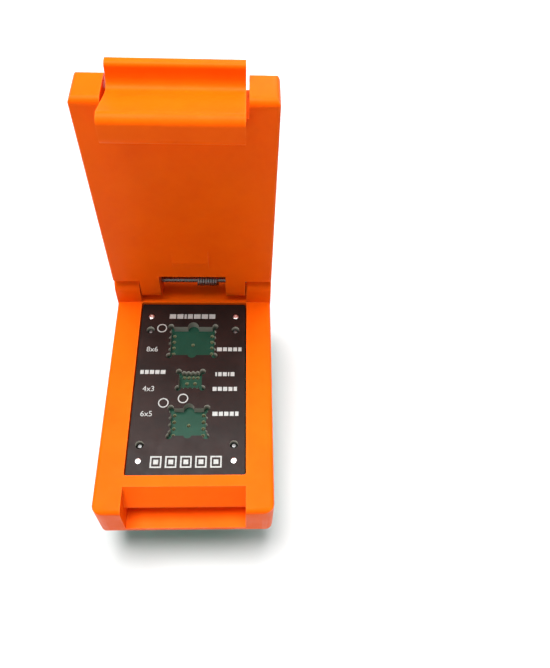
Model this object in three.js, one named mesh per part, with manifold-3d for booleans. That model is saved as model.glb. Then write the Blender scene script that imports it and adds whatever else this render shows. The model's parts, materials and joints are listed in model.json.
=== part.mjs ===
// Flip-lid test socket for eight-pad flash memory chips of 8x6, 6x5 and 4x3 mm.
// It plugs into a programmer through two rows of four pins. The lid stands open, as at rest.
// Millimetres, +Z up, +Y towards the hinge. The socket stands on its pin tips, and the origin is
// on that plane, under the middle of the whole object's box.

import * as THREE from "three";
import { mergeVertices } from "three/addons/utils/BufferGeometryUtils.js";
import Module from "manifold-3d";

const wasm = await Module();
wasm.setup();

// ---- Driving dimensions. Y is measured from the middle of the circuit board. ----

const PIN_REACH = 8.4; // pin tips to the board's underside
const BOARD = { width: 28.8, length: 43.8, thick: 1.6 };
const WIDTH = 29.2; // outside width of base and lid
const BASE_FRONT = -23;
const BASE_HEIGHT = 9.4;
const POCKET = { half: 10, front: -16.65, rear: 17.7 }; // well that holds the floating plates
const PLATE = { width: 19.6, length: 34.05, thick: 1.6 }; // window plate, and guide plate under it
const PLATE_SINK = 0.5; // window plate below the rim
const CARRIER_TRAVEL = 0.8; // how far the two plates can be pushed down

const LID_THICK = 6.2;
const LID_FRONT = -24;
const LID_GAP = 0.1; // closed lid above the rim
const HINGE_Y = 20.9;
const EAR_RADIUS = 3.1;
const EAR_GAP = 0.4; // ear to the lid's full-width part
const KNUCKLE_HALF = 9.75;
const TONGUE_HALF = 9.75;
const OPEN_ANGLE = Math.PI / 2;

const HINGE_PIN = { radius: 0.6, length: 28.6, clearance: 0.12 };
const COIL = { radius: 1.1, wire: 0.22, turns: 8, from: 0.6, to: 4.4, leg: 4.6, foot: 3.1 };
const SPRING_SLOT = { half: 6.1, front: 16, behind: 1.75 };

const SCREW = { x: 11.64, y: 19.15, head: 1.75, rise: 1.3, shank: 0.9, length: 6, hole: 1.1 };
const POST = { x: 7.95, rear: 11.78, front: -11.13, shaft: 0.4, head: 0.58, hole: 0.72, headRise: 1 };
const RIVET = { x: 7.97, rear: 14.74, front: -13.91, hole: 0.3 }; // plated holes in the board
const LIFT = { radius: 1.05, wire: 0.15, turns: 5.5 };

const HEADER = { x: -0.4, y: 1.15, row: 7.62, pitch: 2.54, pin: 0.64, tail: 1.2 };
const PROBE = { barrel: 0.34, plunger: 0.22, tail: 0.2, hole: 0.35 };

// Chip seats: window size, middle, and where the eight pads and the middle pads are touched.
const SEATS = [
  {
    name: "wide", width: 8.1, depth: 6.1, y: 9.39, padX: 3.53,
    columns: [-1, 1], rows: [-1.905, -0.635, 0.635, 1.905], middle: [[0, 0]], pullNotch: 1.05,
  },
  {
    name: "small", width: 4.1, depth: 3.1, y: 1.235, padY: 1.19,
    across: [-1.2, -0.4, 0.4, 1.2], middle: [[-0.74, 0], [0.74, 0]],
  },
  {
    name: "mid", width: 6.1, depth: 5.1, y: -6.95, padX: 2.55,
    columns: [-1, 1], rows: [-1.905, -0.635, 0.635, 1.905], middle: [[0, 0]], pullNotch: 0.95,
  },
];

// ---- Levels and places that follow from them ----

const BOARD_TOP = PIN_REACH + BOARD.thick;
const RIM = BOARD_TOP + BASE_HEIGHT;
const PLATE_TOP = RIM - PLATE_SINK;
const FLOOR_TOP = PLATE_TOP - PLATE.thick; // chip floor: top of the guide plate
const FLOOR_BOTTOM = FLOOR_TOP - PLATE.thick;
const LID_INNER = RIM + LID_GAP;
const LID_OUTER = LID_INNER + LID_THICK;
const HINGE_Z = LID_INNER + LID_THICK / 2;
const BASE_REAR = HINGE_Y + EAR_RADIUS;
const LID_REAR = HINGE_Y - EAR_RADIUS - EAR_GAP;
const PLATE_Y = (POCKET.front + POCKET.rear) / 2;
const OPEN_BACK = HINGE_Y + LID_THICK / 2;
const MIDDLE_Y = (BASE_FRONT + OPEN_BACK) / 2;

// ---- Shape helpers ----

// A closed outline from corners [x, y, softness]; a soft corner is a curve that starts that far from it.
function outline(corners) {
  const shape = new THREE.Shape();
  const last = corners.length;
  const toward = ([ax, ay], [bx, by], reach) => {
    const length = Math.hypot(bx - ax, by - ay);
    return [ax + ((bx - ax) * reach) / length, ay + ((by - ay) * reach) / length];
  };
  corners.forEach((corner, i) => {
    const [x, y, soft = 0] = corner;
    const start = soft ? toward(corner, corners[(i + last - 1) % last], soft) : [x, y];
    if (i === 0) shape.moveTo(...start);
    else shape.lineTo(...start);
    if (soft) shape.quadraticCurveTo(x, y, ...toward(corner, corners[(i + 1) % last], soft));
  });
  shape.closePath();
  return shape;
}

const CURVE_STEPS = 6;

function extrude(shape, depth) {
  return new THREE.ExtrudeGeometry(shape, { depth, bevelEnabled: false, curveSegments: CURVE_STEPS });
}

// Outline in X and Y, raised from z = low to z = high.
const raised = (shape, low, high) => extrude(shape, high - low).translate(0, 0, low);

// Outline in Y and Z, from x = low to x = high.
function across(shape, low, high) {
  const turn = new THREE.Matrix4().makeBasis(
    new THREE.Vector3(0, 1, 0), new THREE.Vector3(0, 0, 1), new THREE.Vector3(1, 0, 0),
  );
  return extrude(shape, high - low).applyMatrix4(turn).translate(low, 0, 0);
}

// Outline in X and Z, from y = low to y = high.
const along = (shape, low, high) => extrude(shape, high - low).rotateX(Math.PI / 2).translate(0, high, 0);

const rectangle = (x0, y0, x1, y1, soft = 0) =>
  outline([[x0, y0, soft], [x1, y0, soft], [x1, y1, soft], [x0, y1, soft]]);

const block = (x0, y0, z0, x1, y1, z1) => raised(rectangle(x0, y0, x1, y1), z0, z1);

const rod = (radius, low, high, sides = 16) =>
  new THREE.CylinderGeometry(radius, radius, high - low, sides)
    .rotateX(Math.PI / 2).translate(0, 0, (low + high) / 2);

const crossRod = (radius, half, sides = 20) =>
  new THREE.CylinderGeometry(radius, radius, 2 * half, sides).rotateZ(Math.PI / 2);

// A profile [radius, height] turned about Z, from the axis at the bottom to the axis at the top.
const turned = (profile, sides, start = 0) =>
  new THREE.LatheGeometry(profile.map(([r, z]) => new THREE.Vector2(r, z)), sides, start)
    .rotateX(Math.PI / 2);

// ---- Joining and cutting ----

function solid(geometry) {
  const bare = geometry.index ? geometry.toNonIndexed() : geometry.clone();
  bare.deleteAttribute("normal");
  bare.deleteAttribute("uv");
  const merged = mergeVertices(bare, 1e-4);
  return new wasm.Manifold(
    new wasm.Mesh({
      numProp: 3,
      vertProperties: merged.attributes.position.array,
      triVerts: new Uint32Array(merged.index.array),
    }),
  );
}

function surface(manifold) {
  const { vertProperties, triVerts } = manifold.getMesh();
  const geometry = new THREE.BufferGeometry();
  geometry.setAttribute("position", new THREE.BufferAttribute(vertProperties, 3));
  geometry.setIndex(new THREE.BufferAttribute(triVerts, 1));
  geometry.computeVertexNormals();
  return geometry;
}

const join = (first, ...rest) => rest.reduce((sum, piece) => sum.add(solid(piece)), first);
const cut = (first, ...tools) => tools.reduce((left, tool) => left.subtract(solid(tool)), first);

// ---- Materials ----

const material = (color, roughness, metalness = 0) =>
  new THREE.MeshStandardMaterial({ color, roughness, metalness });
const ORANGE = material(0xf5641a, 0.42);
const BLACK_MASK = material(0x1d1614, 0.35);
const GREEN_MASK = material(0x1fa37d, 0.35);
const STEEL = material(0xc9ccd0, 0.28, 1);
const GOLD = material(0xd9b25a, 0.3, 1);
const BLACK_PLASTIC = material(0x17191a, 0.5);

const socket = new THREE.Group();
socket.position.y = -MIDDLE_Y;

function add(name, geometry, finish, parent = socket) {
  const mesh = new THREE.Mesh(geometry, finish);
  mesh.name = name;
  parent.add(mesh);
  return mesh;
}

// Every corner of a rectangle of places: [x, y] pairs, left before right, front before rear.
const fourCorners = (x, front, rear) => [[-x, front], [x, front], [-x, rear], [x, rear]];
const SCREWS = fourCorners(SCREW.x, -SCREW.y, SCREW.y);
const POSTS = fourCorners(POST.x, POST.front, POST.rear);
const RIVETS = fourCorners(RIVET.x, RIVET.front, RIVET.rear);

// Places [x, y] of the probe needles under one seat.
function probePlaces(seat) {
  const pads = seat.columns
    ? seat.columns.flatMap((side) => seat.rows.map((row) => [side * seat.padX, row]))
    : [-seat.padY, seat.padY].flatMap((row) => seat.across.map((x) => [x, row]));
  return [...pads, ...seat.middle].map(([x, y]) => [x, seat.y + y]);
}

// ---- Base shell: a moulded frame with the plates' well, the latch recess and two hinge ears ----

function baseShell() {
  const half = WIDTH / 2;
  const plan = raised(
    outline([
      [-half, BASE_FRONT, 2], [half, BASE_FRONT, 2], [half, BASE_REAR, 1.2], [-half, BASE_REAR, 1.2],
    ]),
    BOARD_TOP, RIM,
  );
  const side = across(
    outline([
      [BASE_FRONT, BOARD_TOP, 1.2], [BASE_REAR - 1.5, BOARD_TOP], [BASE_REAR, BOARD_TOP + 2.6, 1],
      [BASE_REAR, RIM], [BASE_FRONT, RIM, 1],
    ]),
    -half, half,
  );
  const front = along(
    outline([[-half, BOARD_TOP], [half, BOARD_TOP], [half, RIM, 0.7], [-half, RIM, 0.7]]),
    BASE_FRONT, BASE_REAR,
  );
  let shell = solid(plan).intersect(solid(side)).intersect(solid(front));

  const earFront = HINGE_Y - EAR_RADIUS;
  const earFoot = RIM - 3;
  const ear = new THREE.Shape();
  ear.moveTo(earFront, earFoot);
  ear.lineTo(BASE_REAR, earFoot);
  ear.lineTo(BASE_REAR, HINGE_Z);
  ear.absarc(HINGE_Y, HINGE_Z, EAR_RADIUS, 0, Math.PI, false);
  ear.closePath();
  const earPlan = outline([
    [POCKET.half, earFront - 1], [half, earFront - 1], [half, BASE_REAR, 1.2], [POCKET.half, BASE_REAR],
  ]);
  const rightEar = solid(across(ear, POCKET.half, half))
    .intersect(solid(raised(earPlan, earFoot, HINGE_Z + EAR_RADIUS + 1)));
  shell = shell.add(rightEar).add(rightEar.mirror([1, 0, 0]));

  // The well goes right through. The recess leaves a sloping lip that the lid's hook slides over,
  // with a notch under it and a low sill at the bottom.
  const lipTop = -18.5;
  const lipNose = [-20.8, PLATE_TOP - 3.55];
  const notchBack = -19.5;
  const sillTop = BOARD_TOP + 2;
  const clear = RIM + 1;
  const recess = outline([
    [lipTop, clear], [lipTop, RIM, 0.4], [...lipNose, 0.45], [notchBack, lipNose[1] - 1.1, 0.3],
    [notchBack, sillTop, 0.4], [BASE_FRONT - 1, sillTop], [BASE_FRONT - 1, clear],
  ]);
  shell = cut(
    shell,
    raised(rectangle(-POCKET.half, POCKET.front, POCKET.half, POCKET.rear, 0.4), BOARD_TOP - 1, clear),
    across(recess, -POCKET.half, POCKET.half),
    crossRod(HINGE_PIN.radius + 0.06, half + 1).translate(0, HINGE_Y, HINGE_Z),
    ...SCREWS.map(([x, y]) => rod(SCREW.shank + 0.15, BOARD_TOP - 1, BOARD_TOP + SCREW.length).translate(x, y, 0)),
  );
  return surface(shell);
}

// ---- Lid: thick plate with a hinge knuckle, a spring slot and the latch tongue, drawn closed ----

function latchTongue() {
  const inside = -18.9;
  const front = -26.5;
  const tab = 1.7;
  const tip = PLATE_TOP - 5.5;
  return across(
    outline([
      [inside, LID_OUTER], [front, LID_OUTER, 0.7], [front, LID_OUTER - tab, 0.7],
      [-22.6, LID_OUTER - tab - 0.4, 2.6], // finger hollow under the tab
      [-25.95, tip + 1.2, 0.65], [-25.2, tip, 0.65], // rounded nose
      [-21.5, tip, 0.9], [-20.72, tip + 1.6, 0.5], [-21.5, tip + 2.7, 0.4], // hook
      [-19.4, LID_INNER, 0.45], [inside, LID_INNER],
    ]),
    -TONGUE_HALF, TONGUE_HALF,
  );
}

function lidSolid() {
  const half = WIDTH / 2;
  const plan = raised(
    outline([[-half, LID_FRONT, 1.2], [half, LID_FRONT, 1.2], [half, LID_REAR, 0.4], [-half, LID_REAR, 0.4]]),
    LID_INNER, LID_OUTER,
  );
  const side = across(
    outline([
      [LID_FRONT, LID_INNER, 1.4], [LID_REAR, LID_INNER], [LID_REAR, LID_OUTER], [LID_FRONT, LID_OUTER, 0.8],
    ]),
    -half, half,
  );
  const front = along(
    outline([
      [-half, LID_INNER, 0.5], [half, LID_INNER, 0.5], [half, LID_OUTER, 1], [-half, LID_OUTER, 1],
    ]),
    LID_FRONT, LID_REAR,
  );
  let lid = solid(plan).intersect(solid(side)).intersect(solid(front));

  // Room for the tongue between the two front blocks.
  const blockInside = TONGUE_HALF + 0.45;
  const rootDepth = 2.9;
  lid = cut(lid, block(
    -blockInside, LID_FRONT - 1, LID_INNER - 1, blockInside, LID_FRONT + rootDepth, LID_OUTER + 1,
  ));

  const knuckle = new THREE.Shape();
  knuckle.moveTo(LID_REAR - 2, LID_OUTER);
  knuckle.lineTo(LID_REAR - 2, LID_INNER);
  knuckle.lineTo(HINGE_Y, LID_INNER);
  knuckle.absarc(HINGE_Y, HINGE_Z, LID_THICK / 2, -Math.PI / 2, Math.PI / 2, false);
  knuckle.closePath();

  // A low wedge over the spring's end, inside the lid.
  const wedge = outline([
    [8, LID_INNER + 0.5], [8, LID_INNER], [11.5, LID_INNER - 0.4, 0.3], [13.6, LID_INNER],
    [13.6, LID_INNER + 0.5],
  ]);
  lid = join(lid, across(knuckle, -KNUCKLE_HALF, KNUCKLE_HALF), latchTongue(), across(wedge, -3.2, 3.2));

  const slot = outline([
    [SPRING_SLOT.front, LID_INNER - 1], [OPEN_BACK + 1, LID_INNER - 1],
    [OPEN_BACK + 1, HINGE_Z + SPRING_SLOT.behind], [SPRING_SLOT.front, HINGE_Z + SPRING_SLOT.behind, 0.6],
  ]);
  lid = cut(
    lid,
    across(slot, -SPRING_SLOT.half, SPRING_SLOT.half),
    crossRod(HINGE_PIN.radius + HINGE_PIN.clearance, KNUCKLE_HALF + 1).translate(0, HINGE_Y, HINGE_Z),
  );
  return lid;
}

// ---- Springs: a round wire along a curve ----

class TorsionWire extends THREE.Curve {
  // Down the lid's leg, round the coil about the X axis, then down the foot to the base.
  getPoint(t, target = new THREE.Vector3()) {
    const round = COIL.turns * 2 * Math.PI * COIL.radius;
    const s = t * (COIL.leg + round + COIL.foot);
    const turnsDone = THREE.MathUtils.clamp((s - COIL.leg) / round, 0, 1) * COIL.turns;
    const angle = -turnsDone * 2 * Math.PI;
    const beyond = s < COIL.leg ? COIL.leg - s : Math.min(0, COIL.leg + round - s);
    return target.set(
      COIL.from + ((COIL.to - COIL.from) * turnsDone) / COIL.turns,
      HINGE_Y + COIL.radius * Math.cos(angle),
      HINGE_Z + COIL.radius * Math.sin(angle) + beyond,
    );
  }
}

class LiftWire extends THREE.Curve {
  getPoint(t, target = new THREE.Vector3()) {
    const gap = 0.22;
    const low = BOARD_TOP + gap;
    const high = FLOOR_BOTTOM - gap;
    const angle = t * LIFT.turns * 2 * Math.PI;
    return target.set(LIFT.radius * Math.cos(angle), LIFT.radius * Math.sin(angle), low + (high - low) * t);
  }
}

function wire(path, radius, steps) {
  const section = new THREE.Shape();
  section.absarc(0, 0, radius, 0, 2 * Math.PI);
  return new THREE.ExtrudeGeometry(section, { steps, extrudePath: path, curveSegments: 3 });
}

// ---- Plates and board ----

// Everything that one chip window cuts away: the seat, round reliefs at its corners, a scallop
// beside each pad, and on the larger seats a finger notch behind and a smaller one in front.
function windowCutters(seat) {
  const low = FLOOR_TOP - 1;
  const high = PLATE_TOP + 1;
  const halfX = seat.width / 2;
  const halfY = seat.depth / 2;
  const hole = (x, y, radius) => rod(radius, low, high, 14).translate(x, seat.y + y, 0);
  const cutters = [block(-halfX, seat.y - halfY, low, halfX, seat.y + halfY, high)];
  for (const [x, y] of fourCorners(halfX + 0.1, -halfY - 0.1, halfY + 0.1)) cutters.push(hole(x, y, 0.55));
  if (seat.columns) {
    for (const side of seat.columns)
      for (const row of seat.rows) cutters.push(hole(side * (halfX - 0.05), row, 0.36));
    cutters.push(hole(0, halfY, seat.pullNotch), hole(0, -halfY + 0.25, seat.pullNotch * 0.8));
  } else {
    for (const x of seat.across)
      for (const side of [-1, 1]) cutters.push(hole(x, side * (halfY - 0.05), 0.26));
  }
  return cutters;
}

function plateBlank(top) {
  const halfX = PLATE.width / 2;
  const halfY = PLATE.length / 2;
  return solid(raised(
    rectangle(-halfX, PLATE_Y - halfY, halfX, PLATE_Y + halfY, 0.3), top - PLATE.thick, top,
  ));
}

const windowPlate = () => surface(cut(
  plateBlank(PLATE_TOP),
  ...SEATS.flatMap(windowCutters),
  ...POSTS.map(([x, y]) => rod(POST.hole, FLOOR_TOP - 1, PLATE_TOP + 1).translate(x, y, 0)),
));

const guidePlate = () => surface(cut(
  plateBlank(FLOOR_TOP),
  ...SEATS.flatMap(probePlaces).map(([x, y]) => rod(PROBE.hole, FLOOR_BOTTOM - 1, FLOOR_TOP + 1, 8).translate(x, y, 0)),
  ...POSTS.map(([x, y]) => rod(POST.shaft + 0.1, FLOOR_BOTTOM - 1, FLOOR_TOP + 1, 12).translate(x, y, 0)),
));

function headerPlaces() {
  const steps = [1.5, 0.5, -0.5, -1.5]; // pin 1 is the rearmost on the left, seen from above
  const left = steps.map((n) => [HEADER.x - HEADER.row / 2, HEADER.y + n * HEADER.pitch]);
  const right = steps.map((n) => [HEADER.x + HEADER.row / 2, HEADER.y - n * HEADER.pitch]);
  return [...left, ...right];
}

function circuitBoard() {
  const low = PIN_REACH - 1;
  const high = BOARD_TOP + 1;
  const hole = (radius, sides) => ([x, y]) => rod(radius, low, high, sides).translate(x, y, 0);
  return surface(cut(
    solid(raised(
      rectangle(-BOARD.width / 2, -BOARD.length / 2, BOARD.width / 2, BOARD.length / 2, 0.3),
      PIN_REACH, BOARD_TOP,
    )),
    ...SCREWS.map(hole(SCREW.hole, 14)),
    ...POSTS.map(hole(POST.shaft + 0.12, 12)),
    ...RIVETS.map(hole(RIVET.hole, 10)),
    ...headerPlaces().map(hole(0.55, 10)),
    ...SEATS.flatMap(probePlaces).map(hole(PROBE.hole - 0.03, 8)),
  ));
}

// ---- Small parts ----

function boardScrew() {
  const { head, rise, shank, length } = SCREW;
  const dome = [
    [0, -rise], [head * 0.45, -rise * 0.97], [head * 0.8, -rise * 0.78], [head * 0.97, -rise * 0.4], [head, 0],
  ];
  const body = turned([...dome, [shank, 0], [shank, BOARD.thick + length - 1], [0, BOARD.thick + length - 0.4]], 20);
  const wing = 0.95;
  const thin = 0.24;
  const depth = 0.7;
  const recess = (x, y) => block(-x, -y, -rise - 1, x, y, -rise + depth);
  return surface(cut(solid(body), recess(wing, thin), recess(thin, wing))).translate(0, 0, PIN_REACH);
}

function headerStrip(x) {
  const half = HEADER.pitch / 2;
  const size = HEADER.pitch * 2;
  const waist = 0.35;
  const corners = [];
  // Chamfered corners between the four pin blocks give the strip its notched edge.
  for (const side of [1, -1]) {
    for (const n of [-1.5, -0.5, 0.5, 1.5]) {
      const middle = side * n * HEADER.pitch;
      corners.push(
        [side * (half - waist), middle - side * half],
        [side * half, middle - side * (half - waist)],
        [side * half, middle + side * (half - waist)],
        [side * (half - waist), middle + side * half],
      );
    }
  }
  const merged = corners.filter(([cx, cy], i) => {
    const [px, py] = corners[(i + corners.length - 1) % corners.length];
    return Math.hypot(cx - px, cy - py) > 1e-6;
  });
  const strip = solid(raised(outline(merged), PIN_REACH - HEADER.pitch, PIN_REACH));
  const room = HEADER.pin / 2 + 0.12;
  const holes = [-1.5, -0.5, 0.5, 1.5].map((n) => block(
    -room, n * HEADER.pitch - room, PIN_REACH - size, room, n * HEADER.pitch + room, PIN_REACH + 1,
  ));
  return surface(cut(strip, ...holes)).translate(x, HEADER.y, 0);
}

function headerPin() {
  const r = HEADER.pin / Math.SQRT2; // half the square's diagonal
  const tip = r * 0.6;
  const top = BOARD_TOP + HEADER.tail;
  return turned([[0, 0], [tip, 0], [r, 0.5], [r, top - 0.4], [tip, top], [0, top]], 4, Math.PI / 4);
}

function guidePost() {
  const { shaft, head, headRise } = POST;
  const seat = FLOOR_TOP + 0.05;
  const end = PIN_REACH - 1;
  return turned([
    [0, end], [shaft * 0.7, end], [shaft, end + 0.3], [shaft, seat], [head, seat],
    [head, seat + headRise - 0.35], [head * 0.6, seat + headRise], [0, seat + headRise],
  ], 14);
}

function probe() {
  const { barrel, plunger, tail } = PROBE;
  const shoulder = FLOOR_BOTTOM - CARRIER_TRAVEL - 0.3;
  const tip = FLOOR_TOP - 0.2;
  return turned([
    [0, PIN_REACH + 0.1], [tail, PIN_REACH + 0.1], [tail, BOARD_TOP + 0.05], [barrel, BOARD_TOP + 0.05],
    [barrel, shoulder], [plunger, shoulder + 0.1], [plunger, tip - 0.3], [0, tip],
  ], 6);
}

// ---- Assembly ----

add("base_shell", baseShell(), ORANGE);
add("circuit_board", circuitBoard(), GREEN_MASK);
add("probe_guide_plate", guidePlate(), GREEN_MASK);
add("window_plate", windowPlate(), BLACK_MASK);

const hinge = new THREE.Group();
hinge.position.set(0, HINGE_Y, HINGE_Z);
hinge.rotation.x = -OPEN_ANGLE;
socket.add(hinge);
add("lid", surface(lidSolid()).translate(0, -HINGE_Y, -HINGE_Z), ORANGE, hinge);

add("hinge_pin", crossRod(HINGE_PIN.radius, HINGE_PIN.length / 2).translate(0, HINGE_Y, HINGE_Z), STEEL);
add("torsion_spring", wire(new TorsionWire(), COIL.wire, 104), STEEL);

SCREWS.forEach(([x, y], i) => {
  add(`board_screw_${i + 1}`, boardScrew(), STEEL).position.set(x, y, 0);
});
POSTS.forEach(([x, y], i) => {
  add(`guide_post_${i + 1}`, guidePost(), STEEL).position.set(x, y, 0);
  add(`lift_spring_${i + 1}`, wire(new LiftWire(), LIFT.wire, 50), STEEL).position.set(x, y, 0);
});

add("header_strip_left", headerStrip(HEADER.x - HEADER.row / 2), BLACK_PLASTIC);
add("header_strip_right", headerStrip(HEADER.x + HEADER.row / 2), BLACK_PLASTIC);
headerPlaces().forEach(([x, y], i) => {
  add(`header_pin_${i + 1}`, headerPin(), GOLD).position.set(x, y, 0);
});

for (const seat of SEATS) {
  probePlaces(seat).forEach(([x, y], i) => {
    add(`probe_${seat.name}_${i + 1}`, probe(), GOLD).position.set(x, y, 0);
  });
}

export default socket;
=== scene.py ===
import json
import math

import bmesh
import bpy
from mathutils import Matrix, Vector

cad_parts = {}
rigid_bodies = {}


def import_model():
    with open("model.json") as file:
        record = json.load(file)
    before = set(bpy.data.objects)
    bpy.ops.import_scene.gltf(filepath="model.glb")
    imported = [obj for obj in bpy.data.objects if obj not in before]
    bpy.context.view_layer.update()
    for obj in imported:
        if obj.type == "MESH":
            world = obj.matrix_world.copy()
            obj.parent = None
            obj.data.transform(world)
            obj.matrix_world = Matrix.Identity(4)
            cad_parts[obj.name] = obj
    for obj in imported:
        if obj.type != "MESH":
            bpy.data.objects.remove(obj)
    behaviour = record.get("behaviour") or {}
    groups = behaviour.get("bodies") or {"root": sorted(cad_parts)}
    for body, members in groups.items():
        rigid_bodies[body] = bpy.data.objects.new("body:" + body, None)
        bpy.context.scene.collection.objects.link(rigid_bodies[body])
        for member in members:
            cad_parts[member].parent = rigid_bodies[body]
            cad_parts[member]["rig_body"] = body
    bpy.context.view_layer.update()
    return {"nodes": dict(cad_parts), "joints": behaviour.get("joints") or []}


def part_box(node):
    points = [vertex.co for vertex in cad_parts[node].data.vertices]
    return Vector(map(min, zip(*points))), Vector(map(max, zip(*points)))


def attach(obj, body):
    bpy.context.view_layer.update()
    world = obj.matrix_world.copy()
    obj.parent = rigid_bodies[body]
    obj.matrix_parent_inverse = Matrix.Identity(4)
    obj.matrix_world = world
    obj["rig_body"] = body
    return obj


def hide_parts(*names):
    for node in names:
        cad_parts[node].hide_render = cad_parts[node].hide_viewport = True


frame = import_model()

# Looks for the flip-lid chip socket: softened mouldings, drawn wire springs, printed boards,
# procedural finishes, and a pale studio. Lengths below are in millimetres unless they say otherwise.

NODES = frame["nodes"]
JOINTS = {joint["name"]: joint for joint in frame["joints"]}
MM = 0.001


def mm_box(node):
    """The node's lowest and highest corners in millimetres."""
    low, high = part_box(node)
    return low / MM, high / MM


def body_of(node):
    return NODES[node]["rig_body"]


# ---- Places taken from the frame ----

BOARD_LOW, BOARD_HIGH = mm_box("circuit_board")
PLATE_LOW, PLATE_HIGH = mm_box("window_plate")
BOARD_MIDDLE = (BOARD_LOW + BOARD_HIGH) / 2
HINGE = Vector(JOINTS["lid_hinge"]["pos_m"]) / MM
MIDDLE_Y = BOARD_MIDDLE.y  # the boards' own layout is measured from here


# ---- Finishes ----

class Finish:
    """A Principled material whose colour, gloss and relief come from noise in the object's own space."""

    def __init__(self, name, colour, roughness, metallic=0.0):
        self.material = bpy.data.materials.new(name)
        self.material.use_nodes = True
        self.tree = self.material.node_tree
        self.shader = self.tree.nodes["Principled BSDF"]
        self.shader.inputs["Metallic"].default_value = metallic
        self.colour = colour
        self.roughness = roughness
        self.place = self.tree.nodes.new("ShaderNodeTexCoord").outputs["Object"]
        rgb = self.tree.nodes.new("ShaderNodeRGB")
        rgb.outputs[0].default_value = (*colour, 1)
        self.paint = rgb.outputs[0]

    def node(self, kind, **inputs):
        made = self.tree.nodes.new(kind)
        for key, value in inputs.items():
            made.inputs[key].default_value = value
        return made

    def link(self, out, into):
        self.tree.links.new(out, into)

    def noise(self, size, detail=4.0):
        """Noise with features about that many millimetres across."""
        made = self.node("ShaderNodeTexNoise", Scale=1 / (size * MM), Detail=detail, Roughness=0.55)
        self.link(self.place, made.inputs["Vector"])
        return made.outputs[0]

    def span(self, value, low, high, from_low=0.3, from_high=0.7):
        made = self.tree.nodes.new("ShaderNodeMapRange")
        made.inputs["From Min"].default_value = from_low
        made.inputs["From Max"].default_value = from_high
        made.inputs["To Min"].default_value = low
        made.inputs["To Max"].default_value = high
        self.link(value, made.inputs["Value"])
        return made.outputs[0]

    def multiply(self, first, second):
        made = self.tree.nodes.new("ShaderNodeMath")
        made.operation = "MULTIPLY"
        self.link(first, made.inputs[0])
        self.link(second, made.inputs[1])
        return made.outputs[0]

    def mix(self, factor, other):
        """Blends the paint so far towards another colour by factor."""
        made = self.tree.nodes.new("ShaderNodeMix")
        made.data_type = "RGBA"
        made.inputs[7].default_value = (*other, 1)
        self.link(factor, made.inputs[0])
        self.link(self.paint, made.inputs[6])
        self.paint = made.outputs[2]

    def mottle(self, size, darker, share=0.5):
        """Slow drift of the colour towards a darker one."""
        self.mix(self.span(self.noise(size, 3.0), 0.0, share), darker)

    def gloss(self, size, spread):
        """Roughness that wanders by spread either side of its middle."""
        self.link(
            self.span(self.noise(size, 5.0), self.roughness - spread, self.roughness + spread),
            self.shader.inputs["Roughness"],
        )

    def relief(self, layers):
        """Fine bumps: pairs of feature size and height."""
        last = None
        for size, height in layers:
            bump = self.node("ShaderNodeBump", Strength=1.0, Distance=height * MM)
            self.link(self.noise(size, 2.0), bump.inputs["Height"])
            if last is not None:
                self.link(last, bump.inputs["Normal"])
            last = bump.outputs[0]
        self.link(last, self.shader.inputs["Normal"])

    def edges(self, width, colour, strength):
        """Rubbed edges: where the surface turns within width, patchily."""
        bevel = self.node("ShaderNodeBevel", Radius=width * MM)
        bevel.samples = 4
        geometry = self.tree.nodes.new("ShaderNodeNewGeometry")
        dot = self.tree.nodes.new("ShaderNodeVectorMath")
        dot.operation = "DOT_PRODUCT"
        self.link(bevel.outputs[0], dot.inputs[0])
        self.link(geometry.outputs["Normal"], dot.inputs[1])
        turn = self.span(dot.outputs["Value"], strength, 0.0, 0.82, 0.99)
        patch = self.span(self.noise(1.3, 4.0), 0.25, 1.0)
        self.mix(self.multiply(turn, patch), colour)

    def walls(self, colour):
        """Another colour on faces that stand upright, as on a board's cut edge."""
        geometry = self.tree.nodes.new("ShaderNodeNewGeometry")
        split = self.tree.nodes.new("ShaderNodeSeparateXYZ")
        self.link(geometry.outputs["True Normal"], split.inputs[0])
        up = self.tree.nodes.new("ShaderNodeMath")
        up.operation = "ABSOLUTE"
        self.link(split.outputs["Z"], up.inputs[0])
        self.mix(self.span(up.outputs[0], 1.0, 0.0, 0.35, 0.6), colour)

    def done(self):
        self.link(self.paint, self.shader.inputs["Base Color"])
        if not self.shader.inputs["Roughness"].is_linked:
            self.shader.inputs["Roughness"].default_value = self.roughness
        return self.material


def orange_plastic():
    finish = Finish("orange_plastic", (0.9, 0.112, 0.001), 0.4)
    finish.shader.inputs["Specular IOR Level"].default_value = 0.07
    finish.shader.inputs["Specular Tint"].default_value = (1.0, 0.6, 0.3, 1)
    finish.shader.inputs["Subsurface Weight"].default_value = 0.06
    finish.shader.inputs["Subsurface Radius"].default_value = (1.0, 0.35, 0.1)
    finish.shader.inputs["Subsurface Scale"].default_value = 0.8 * MM
    finish.mottle(9.0, (0.8, 0.075, 0.0015), 0.5)
    finish.mottle(1.1, (0.92, 0.125, 0.003), 0.25)
    finish.edges(0.4, (1.0, 0.2, 0.03), 0.5)
    finish.gloss(2.2, 0.07)
    finish.relief([(0.16, 0.004), (1.6, 0.012)])
    return finish.done()


def mask(name, colour, darker, core):
    """Solder mask on glass fibre: satin, with the weave faintly showing, and a bare cut edge."""
    finish = Finish(name, colour, 0.36)
    finish.shader.inputs["Specular IOR Level"].default_value = 0.08
    finish.mottle(5.0, darker, 0.7)
    finish.walls(core)
    finish.gloss(1.4, 0.08)
    finish.relief([(0.6, 0.006), (0.12, 0.0015)])
    return finish.done()


def metal(name, colour, roughness, stain, grain=0.3):
    finish = Finish(name, colour, roughness, 1.0)
    finish.mottle(0.8, stain, 0.45)
    finish.gloss(grain, 0.09)
    finish.relief([(0.09, 0.002), (0.5, 0.004)])
    return finish.done()


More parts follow.
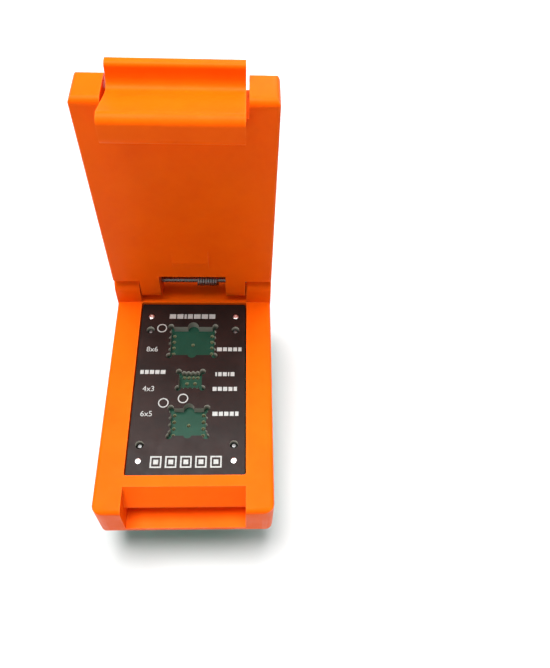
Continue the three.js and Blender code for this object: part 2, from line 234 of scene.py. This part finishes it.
def pin_metal():
    """Dull plating down the pins' sides, and bright bare metal at their cut tips."""
    finish = Finish("pin_metal", (0.16, 0.15, 0.14), 0.36, 1.0)
    finish.mottle(0.8, (0.08, 0.075, 0.07), 0.5)
    split = finish.tree.nodes.new("ShaderNodeSeparateXYZ")
    finish.link(finish.place, split.inputs[0])
    finish.mix(finish.span(split.outputs["Z"], 1.0, 0.0, 0.5 * MM, 0.9 * MM), (0.8, 0.76, 0.66))
    finish.gloss(0.3, 0.09)
    finish.relief([(0.09, 0.002), (0.5, 0.004)])
    return finish.done()


def moulded_black():
    finish = Finish("black_plastic", (0.018, 0.018, 0.02), 0.48)
    finish.mottle(1.0, (0.035, 0.036, 0.04), 0.6)
    finish.edges(0.12, (0.09, 0.09, 0.095), 0.6)
    finish.gloss(0.5, 0.1)
    finish.relief([(0.12, 0.006)])
    return finish.done()


def print_ink():
    finish = Finish("white_ink", (0.44, 0.45, 0.43), 0.6)
    finish.mottle(0.35, (0.27, 0.28, 0.27), 0.7)
    finish.gloss(0.4, 0.1)
    finish.relief([(0.1, 0.003)])
    return finish.done()


ORANGE = orange_plastic()
BLACK_MASK = mask("black_mask", (0.014, 0.009, 0.008), (0.028, 0.014, 0.012), (0.34, 0.33, 0.28))
GREEN_MASK = mask("green_mask", (0.012, 0.36, 0.21), (0.01, 0.29, 0.17), (0.74, 0.69, 0.42))
# The guide plate is seen only at the floors of the chip windows. Its mask and cut edge are painted a far
# darker green than the board's, as painted shade for those recessed floors.
GUIDE_MASK = mask("guide_mask", (0.014, 0.06, 0.038), (0.011, 0.04, 0.024), (0.3, 0.32, 0.2))
STEEL = metal("bright_steel", (0.74, 0.74, 0.73), 0.24, (0.5, 0.5, 0.5))
SPRING_STEEL = metal("spring_steel", (0.34, 0.33, 0.33), 0.28, (0.2, 0.19, 0.18))
DARK_STEEL = metal("dark_steel", (0.12, 0.12, 0.12), 0.4, (0.06, 0.06, 0.06))
TIN = metal("tin_solder", (0.86, 0.86, 0.85), 0.32, (0.66, 0.66, 0.66), 0.15)
GOLD = metal("gold_plate", (0.24, 0.2, 0.12), 0.34, (0.14, 0.115, 0.065))
PIN_METAL = pin_metal()
BLACK_PLASTIC = moulded_black()
INK = print_ink()


# ---- Mesh helpers ----

def piece(name, mesh, material, body, hides=(), smooth=True):
    obj = bpy.data.objects.new(name, mesh)
    bpy.context.scene.collection.objects.link(obj)
    mesh.materials.clear()
    mesh.materials.append(material)
    for face in mesh.polygons:
        face.use_smooth = smooth
    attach(obj, body)
    if hides:
        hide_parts(*hides)
    return obj


def mesh_from(bm, name):
    bmesh.ops.recalc_face_normals(bm, faces=bm.faces)
    mesh = bpy.data.meshes.new(name)
    bm.to_mesh(mesh)
    bm.free()
    return mesh


def soften(node, material, width, segments=2, angle=28):
    """A copy of the CAD node with its hard edges rounded by width."""
    bm = bmesh.new()
    bm.from_mesh(NODES[node].data)
    bmesh.ops.remove_doubles(bm, verts=bm.verts, dist=0.002 * MM)
    bmesh.ops.dissolve_limit(
        bm, angle_limit=math.radians(1.2), verts=bm.verts, edges=bm.edges, use_dissolve_boundaries=False,
    )
    bmesh.ops.recalc_face_normals(bm, faces=bm.faces)
    hard = [e for e in bm.edges if len(e.link_faces) == 2 and e.calc_face_angle(0) > math.radians(angle)]
    bmesh.ops.bevel(
        bm, geom=hard, offset=width * MM, offset_type="OFFSET", segments=segments, profile=0.6,
        affect="EDGES", clamp_overlap=True,
    )
    obj = piece(
        f"{node}_finished", mesh_from(bm, node), material, body_of(node), hides=[node],
    )
    even = obj.modifiers.new("even_normals", "WEIGHTED_NORMAL")
    even.weight = 80
    return obj


def tube(points, radius, sides, name):
    """A round wire through points, closed at both ends, with no twist between rings."""
    bm = bmesh.new()
    rings = []
    side = None
    for i, point in enumerate(points):
        ahead = (points[min(i + 1, len(points) - 1)] - points[max(i - 1, 0)]).normalized()
        if side is None:
            side = ahead.orthogonal().normalized()
        side = (side - ahead * side.dot(ahead)).normalized()
        other = ahead.cross(side)
        rings.append([
            bm.verts.new((point + radius * (side * math.cos(a) + other * math.sin(a))) * MM)
            for a in (2 * math.pi * k / sides for k in range(sides))
        ])
    for first, second in zip(rings, rings[1:]):
        for k in range(sides):
            n = (k + 1) % sides
            bm.faces.new((first[k], first[n], second[n], second[k]))
    bm.faces.new(rings[0][::-1])
    bm.faces.new(rings[-1])
    return mesh_from(bm, name)


class Print:
    """Thin flat shapes gathered into one mesh, drawn on a level face at height z, facing up or down."""

    def __init__(self, z, thick, up=True):
        self.bm = bmesh.new()
        self.low = z if up else z - thick
        self.high = z + thick if up else z
        self.up = up

    def prism(self, loop):
        """An upright prism from a loop of [x, y] points."""
        low = [self.bm.verts.new((x * MM, y * MM, self.low * MM)) for x, y in loop]
        high = [self.bm.verts.new((x * MM, y * MM, self.high * MM)) for x, y in loop]
        self.bm.faces.new(low[::-1])
        self.bm.faces.new(high)
        for i in range(len(loop)):
            n = (i + 1) % len(loop)
            self.bm.faces.new((low[i], low[n], high[n], high[i]))

    def bar(self, x, y, width, height):
        self.prism([
            (x - width / 2, y - height / 2), (x + width / 2, y - height / 2),
            (x + width / 2, y + height / 2), (x - width / 2, y + height / 2),
        ])

    def line(self, start, end, width):
        (ax, ay), (bx, by) = start, end
        length = math.hypot(bx - ax, by - ay)
        ox, oy = -(by - ay) / length * width / 2, (bx - ax) / length * width / 2
        self.prism([(ax + ox, ay + oy), (bx + ox, by + oy), (bx - ox, by - oy), (ax - ox, ay - oy)])

    def ring(self, x, y, inner, outer, sides=28):
        """A flat washer."""
        levels = []
        for radius in (inner, outer):
            for z in (self.low, self.high):
                levels.append([
                    self.bm.verts.new((
                        (x + radius * math.cos(2 * math.pi * k / sides)) * MM,
                        (y + radius * math.sin(2 * math.pi * k / sides)) * MM,
                        z * MM,
                    ))
                    for k in range(sides)
                ])
        inner_low, inner_high, outer_low, outer_high = levels
        for k in range(sides):
            n = (k + 1) % sides
            self.bm.faces.new((inner_high[k], outer_high[k], outer_high[n], inner_high[n]))
            self.bm.faces.new((inner_low[k], inner_low[n], outer_low[n], outer_low[k]))
            self.bm.faces.new((outer_low[k], outer_low[n], outer_high[n], outer_high[k]))
            self.bm.faces.new((inner_low[k], inner_high[k], inner_high[n], inner_low[n]))

    def words(self, text, x, y, height, mirror=False):
        """Plain figures, centred on [x, y]."""
        curve = bpy.data.curves.new("figures", "FONT")
        curve.body = text
        curve.size = 1.0
        curve.align_x = "CENTER"
        curve.align_y = "CENTER"
        curve.extrude = 0.5
        curve.resolution_u = 4
        holder = bpy.data.objects.new("figures", curve)
        bpy.context.scene.collection.objects.link(holder)
        bpy.context.view_layer.update()
        shape = bpy.data.meshes.new_from_object(holder.evaluated_get(bpy.context.evaluated_depsgraph_get()))
        scale = height / 0.7
        flip = -1 if mirror else 1
        place = Matrix.Translation(Vector((x, y, (self.low + self.high) / 2)) * MM) @ Matrix.Diagonal(
            (flip * scale * MM, scale * MM, (self.high - self.low) * MM, 1)
        )
        shape.transform(place)
        if mirror:
            shape.flip_normals()
        before = set(self.bm.verts)
        self.bm.from_mesh(shape)
        fresh = [v for v in self.bm.verts if v not in before]
        bmesh.ops.remove_doubles(self.bm, verts=fresh, dist=1e-7)
        bpy.data.objects.remove(holder)
        bpy.data.curves.remove(curve)
        bpy.data.meshes.remove(shape)

    def make(self, name, material, body):
        return piece(name, mesh_from(self.bm, name), material, body, smooth=False)


# ---- Mouldings and plates ----

soften("base_shell", ORANGE, 0.22, 3)
soften("lid", ORANGE, 0.22, 3)
soften("window_plate", BLACK_MASK, 0.05, 1)
soften("probe_guide_plate", GUIDE_MASK, 0.04, 1)
soften("circuit_board", GREEN_MASK, 0.06, 1)
for side in ("left", "right"):
    soften(f"header_strip_{side}", BLACK_PLASTIC, 0.08, 2)
for number in range(1, 9):
    soften(f"header_pin_{number}", PIN_METAL, 0.05, 2)
for number in range(1, 5):
    soften(f"board_screw_{number}", STEEL, 0.08, 2, 35)
    soften(f"guide_post_{number}", DARK_STEEL, 0.06, 2, 35)
soften("hinge_pin", SPRING_STEEL, 0.08, 2, 40)
for name in sorted(NODES):
    if name.startswith("probe_") and name != "probe_guide_plate":
        soften(name, GOLD, 0.03, 1, 40)


# ---- Springs ----

TORSION = {"wire": 0.22, "radius": 1.1, "turns": 8}
LIFT = {"wire": 0.15, "turns": 2.8, "step_in": 0.33}
WIRE_STEPS = 28  # round one turn of the torsion coil


def torsion_spring():
    """The coil and foot stay with the base, and the leg turns with the lid about the coil's middle."""
    low, high = mm_box("torsion_spring")
    wire = TORSION["wire"]
    radius = TORSION["radius"]
    start, end = low.x + wire, high.x - wire
    steps = TORSION["turns"] * WIRE_STEPS
    tangent = HINGE.y + radius
    leg = [Vector((start, tangent, high.z + (HINGE.z - high.z) * k / 8)) for k in range(9)]
    coil = [
        Vector((
            start + (end - start) * k / steps,
            HINGE.y + radius * math.cos(2 * math.pi * k / WIRE_STEPS),
            HINGE.z - radius * math.sin(2 * math.pi * k / WIRE_STEPS),
        ))
        for k in range(steps + 1)
    ]
    foot = [Vector((end, tangent, HINGE.z + (low.z - HINGE.z) * k / 6)) for k in range(1, 7)]
    piece(
        "torsion_spring_wire", tube(coil + foot, wire, 12, "torsion_spring"), SPRING_STEEL, "base",
        hides=["torsion_spring"],
    )
    piece("torsion_spring_leg", tube(leg, wire, 12, "torsion_leg"), STEEL, "lid")


def lift_spring(node):
    """A stepped coil: the narrow upper half moves with the plates, down inside the lower half."""
    low, high = mm_box(node)
    wire = LIFT["wire"]
    middle = (low + high) / 2
    wide = (high.x - low.x) / 2 - wire
    halves = (
        ("wire", "base", wide, low.z + wire, middle.z + 0.1, [node]),
        ("upper_wire", "carrier", wide - LIFT["step_in"], middle.z, high.z - wire, []),
    )
    for part, body, radius, bottom, top, hides in halves:
        steps = 64
        per_step = 2 * math.pi * LIFT["turns"] / steps
        points = [
            Vector((
                middle.x + radius * math.cos(per_step * k),
                middle.y + radius * math.sin(per_step * k),
                bottom + (top - bottom) * k / steps,
            ))
            for k in range(steps + 1)
        ]
        piece(f"{node}_{part}", tube(points, wire, 8, node), SPRING_STEEL, body, hides=hides)


torsion_spring()
for number in range(1, 5):
    lift_spring(f"lift_spring_{number}")


# ---- Printing and solder on the window plate ----

INK_THICK = 0.03
RIVET_X = 7.97
RIVET_REAR = 14.74
RIVET_FRONT = -14.0
BOARD_HOLE_FRONT = -13.91  # the board's own plated holes, under the plate's front ones


def plate_marks():
    ink = Print(PLATE_HIGH.z, INK_THICK)
    y0 = MIDDLE_Y
    for x, y in ((-5.83, 12.15), (-1.12, -2.5), (-4.5, -3.35)):  # a ring at each seat's first pad
        ink.ring(x, y0 + y, 0.73, 0.92)
    for text, x, y in (("8x6", -7.3, 7.53), ("4x3", -7.3, -0.6), ("6x5", -7.3, -5.45)):
        ink.words(text, x, y0 + y, 1.0)
    rows = (  # middle, height, and the widths of the plain blocks that stand in a row
        (-0.25, 14.8, 1.0, (1.2, 1.15, 0.4, 0.95, 1.25, 1.2, 1.15)),
        (6.85, 7.54, 0.8, (0.9, 0.7, 0.75, 0.7, 0.6)),
        (-6.8, 2.8, 0.8, (0.6, 0.65, 0.75, 0.75, 0.85)),
        (6.15, 2.34, 0.8, (0.3, 0.6, 0.7, 0.25, 0.7)),
        (6.2, -0.64, 0.8, (0.7, 0.7, 0.75, 0.7, 0.6)),
        (6.4, -5.48, 0.8, (0.9, 0.7, 0.75, 0.7, 0.6)),
    )
    for x, y, height, widths in rows:
        gap = 0.22
        at = x - (sum(widths) + gap * (len(widths) - 1)) / 2
        for width in widths:
            ink.bar(at + width / 2, y0 + y, width, height)
            at += width + gap
    for k in range(5):  # five plain chip outlines along the front
        x = -5.0 + 2.5 * k
        y = y0 - 14.2
        for sign in (-1, 1):
            ink.bar(x, y + sign * 0.9, 1.9, 0.24)
            ink.bar(x + sign * 0.83, y, 0.24, 1.56)
        ink.bar(x, y, 0.8, 0.8)
    ink.make("plate_printing", INK, "carrier")


def plate_rivets():
    """Solder-filled plated holes near the plate's corners: low domes."""
    bm = bmesh.new()
    sides = 20
    for x in (-RIVET_X, RIVET_X):
        for y in (RIVET_FRONT, RIVET_REAR):
            rings = []
            for radius, height in ((0.53, -0.02), (0.53, 0.03), (0.44, 0.07), (0.26, 0.1), (0.12, 0.06)):
                rings.append([
                    bm.verts.new((
                        (x + radius * math.cos(2 * math.pi * k / sides)) * MM,
                        (MIDDLE_Y + y + radius * math.sin(2 * math.pi * k / sides)) * MM,
                        (PLATE_HIGH.z + height) * MM,
                    ))
                    for k in range(sides)
                ])
            bm.faces.new(rings[0][::-1])
            bm.faces.new(rings[-1])
            for first, second in zip(rings, rings[1:]):
                for k in range(sides):
                    n = (k + 1) % sides
                    bm.faces.new((first[k], first[n], second[n], second[k]))
    piece("plate_solder_dots", mesh_from(bm, "plate_solder_dots"), TIN, "carrier")


plate_marks()
plate_rivets()


# ---- Printing and pads under the circuit board ----

def board_marks():
    y0 = MIDDLE_Y
    low = BOARD_LOW.z
    ink = Print(low, INK_THICK, up=False)
    box_x, box_y = -0.31, y0 + 0.78
    half_x, half_y, stroke = 5.5, 5.7, 0.2
    for sign in (-1, 1):
        ink.bar(box_x, box_y + sign * half_y, 2 * half_x + stroke, stroke)
        ink.bar(box_x + sign * half_x, box_y, stroke, 2 * half_y - stroke)
    for k in range(4):
        y = y0 + 1.15 + (1.5 - k) * 2.3
        ink.words(str(8 - k), 6.6, y, 1.5, mirror=True)
        ink.words(str(k + 1), -7.2, y, 1.5, mirror=True)
    ink.make("board_printing", INK, "base")

    pads = Print(low, 0.035, up=False)
    for name in sorted(NODES):
        if name.startswith("probe_") and name != "probe_guide_plate":
            a, b = mm_box(name)
            small = name.startswith("probe_small")
            pads.ring((a.x + b.x) / 2, (a.y + b.y) / 2, 0.3, 0.37 if small else 0.5, 18)
    for x in (-RIVET_X, RIVET_X):
        for y in (BOARD_HOLE_FRONT, RIVET_REAR):
            pads.ring(x, y0 + y, 0.3, 0.8)
    for number in range(1, 5):
        a, b = mm_box(f"guide_post_{number}")
        pads.ring((a.x + b.x) / 2, (a.y + b.y) / 2, 0.56, 0.85)
    pads.make("board_pads", TIN, "base")


board_marks()


# ---- Studio ----

def floor():
    bm = bmesh.new()
    bmesh.ops.create_grid(bm, x_segments=8, y_segments=8, size=1.2)
    mesh = bpy.data.meshes.new("floor")
    bm.to_mesh(mesh)
    bm.free()
    obj = bpy.data.objects.new("floor", mesh)
    bpy.context.scene.collection.objects.link(obj)
    paper = Finish("paper", (0.64, 0.64, 0.64), 0.9)
    paper.mottle(60.0, (0.625, 0.625, 0.625), 0.5)
    paper.relief([(2.0, 0.01)])
    mesh.materials.append(paper.done())


def area_light(name, place, target, size, watts, colour=(1, 1, 1)):
    data = bpy.data.lights.new(name, "AREA")
    data.shape = "DISK"
    data.size = size
    data.energy = watts
    data.color = colour
    obj = bpy.data.objects.new(name, data)
    bpy.context.scene.collection.objects.link(obj)
    obj.location = place
    obj.rotation_euler = (Vector(target) - Vector(place)).to_track_quat("-Z", "Y").to_euler()


def camera():
    """Looks down steeply from the front and a little to the right of the middle."""
    data = bpy.data.cameras.new("camera")
    data.sensor_width = 36
    data.lens = 37.15
    data.shift_y = -0.0576
    data.clip_start = 0.01
    data.dof.use_dof = False
    obj = bpy.data.objects.new("camera", data)
    bpy.context.scene.collection.objects.link(obj)
    pitch = math.radians(54.4)
    lie = (
        Matrix.Rotation(math.radians(1.26), 3, "Z")
        @ Matrix.Rotation(math.radians(2.19), 3, "Y")
        @ Matrix.Rotation(math.radians(0.42), 3, "X")
    ).transposed()
    right = lie @ Vector((1, 0, 0))
    up = lie @ Vector((0, math.sin(pitch), math.cos(pitch)))
    back = right.cross(up)
    turn = Matrix((right, up, back)).transposed()
    place = Vector((9.67, MIDDLE_Y - 57.991, PLATE_HIGH.z + 110.223)) * MM
    obj.matrix_world = Matrix.Translation(place) @ turn.to_4x4()
    bpy.context.scene.camera = obj


floor()
area_light("key", (-0.06, 0.04, 0.55), (0, 0, 0.02), 0.36, 5.6)
area_light("fill", (-0.3, -0.4, 0.3), (0, 0, 0.03), 0.4, 0.25)
area_light("rim", (0.15, 0.4, 0.35), (0, 0, 0.04), 0.4, 1.2)
world = bpy.data.worlds.new("studio")
bpy.context.scene.world = world
world.use_nodes = True
world.node_tree.nodes["Background"].inputs[0].default_value = (1, 1, 1, 1)
world.node_tree.nodes["Background"].inputs[1].default_value = 0.3
camera()
bpy.context.scene.view_settings.view_transform = "Standard"
bpy.context.scene.view_settings.look = "None"
